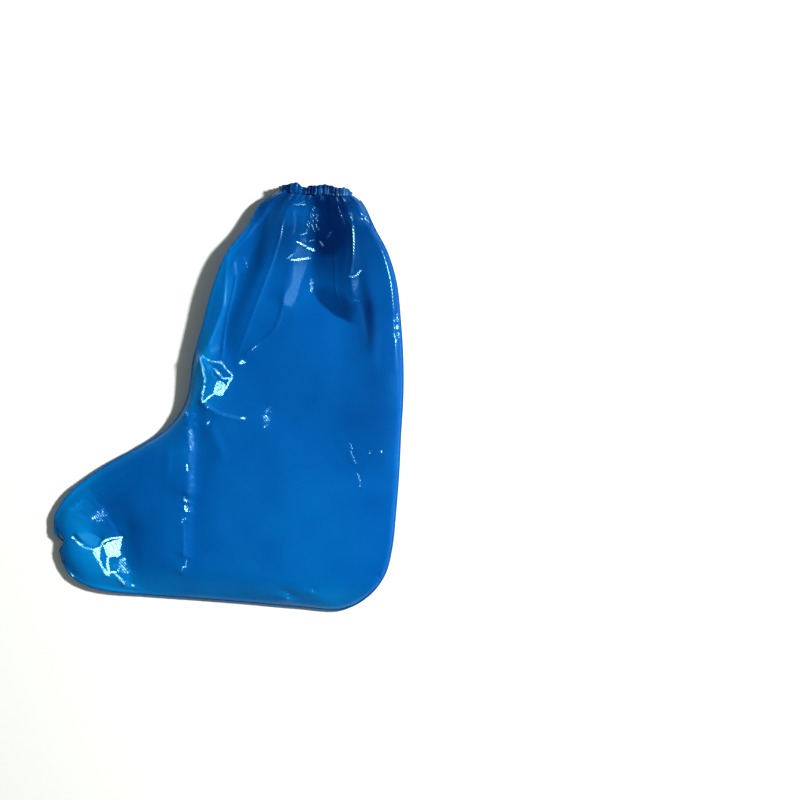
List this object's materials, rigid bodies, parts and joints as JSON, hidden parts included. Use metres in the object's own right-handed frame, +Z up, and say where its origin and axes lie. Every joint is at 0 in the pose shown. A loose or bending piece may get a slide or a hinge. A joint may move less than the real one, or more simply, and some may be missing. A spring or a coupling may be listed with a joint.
{
  "type": "disposable leg cover",
  "caption": "Boot-shaped disposable leg cover of thin glossy film, welded all round its edge, with an open mouth gathered on an elastic band in a ruffled hem.",
  "frame": {"origin": "middle of the cover's footprint, on the surface it lies on", "axes": "+Y up the leg to the mouth, +X from the toe to the heel and back seam, so the toe points to -X and the sole to -Y, +Z up from the surface through the two layers of film"},
  "size_m": [0.399, 0.4846, 0.0353],
  "materials": {
    "film": "glossy blue embossed film",
    "hem_film": "glossy dark blue gathered film, several layers deep",
    "weld": "glossy fused bead",
    "elastic": "matt white elastic"
  },
  "bodies": {
    "root": {"upper_film": "film", "lower_film": "film", "cuff_hem": "hem_film", "elastic_band": "elastic", "edge_weld": "weld"}
  },
  "joints": []
}
